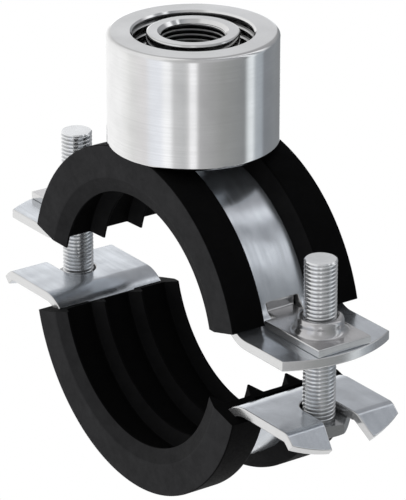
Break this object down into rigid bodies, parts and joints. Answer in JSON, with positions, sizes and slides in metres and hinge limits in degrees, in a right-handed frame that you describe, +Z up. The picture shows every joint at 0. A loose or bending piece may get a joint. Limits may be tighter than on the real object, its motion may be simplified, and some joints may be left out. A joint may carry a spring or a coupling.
{
  "type": "rubber lined pipe clamp",
  "caption": "Two-part steel pipe clamp with rubber lining, side screws in hooked nut plates, forked lower ears and a welded boss with two nested female pipe threads.",
  "frame": {"origin": "on the axis of the pipe, half way along the width of the clamp", "axes": "+X from the left to the right side screw, +Y along the pipe, +Z up through the connection boss"},
  "size_m": [0.1612, 0.052, 0.1437],
  "materials": {
    "turned_steel": "turned, bright, fine turning lines",
    "zinc_strip": "satin zinc plating on rolled strip, paler cut edges",
    "zinc_plate": "satin zinc plating, pressed",
    "zinc_screw": "bright zinc plating",
    "black_rubber": "dull extruded rubber"
  },
  "bodies": {
    "upper_half": {"connection_boss": "turned_steel", "upper_band": "zinc_strip", "upper_liner": "black_rubber", "left_nut_plate": "zinc_plate", "right_nut_plate": "zinc_plate"},
    "lower_half": {"lower_band": "zinc_strip", "lower_liner": "black_rubber"},
    "left_screw_body": {"left_screw": "zinc_screw"},
    "right_screw_body": {"right_screw": "zinc_screw"}
  },
  "joints": [
    {"name": "closing", "type": "slide", "parent": "upper_half", "child": "lower_half", "axis": [0, 0, 1], "range_m": [-0.01881, 0.01891]},
    {"name": "left_screw_turn", "type": "hinge", "parent": "lower_half", "child": "left_screw_body", "pos_m": [-0.064, 0, -0.01345], "axis": [0, 0, 1], "range_deg": [-5418, 5447]},
    {"name": "right_screw_turn", "type": "hinge", "parent": "lower_half", "child": "right_screw_body", "pos_m": [0.064, 0, -0.01345], "axis": [0, 0, 1], "range_deg": [-5418, 5447]}
  ],
  "couplings": [
    {"joint": "left_screw_turn", "follows": "closing", "rad_per_m": 5026.5},
    {"joint": "right_screw_turn", "follows": "closing", "rad_per_m": 5026.5}
  ]
}
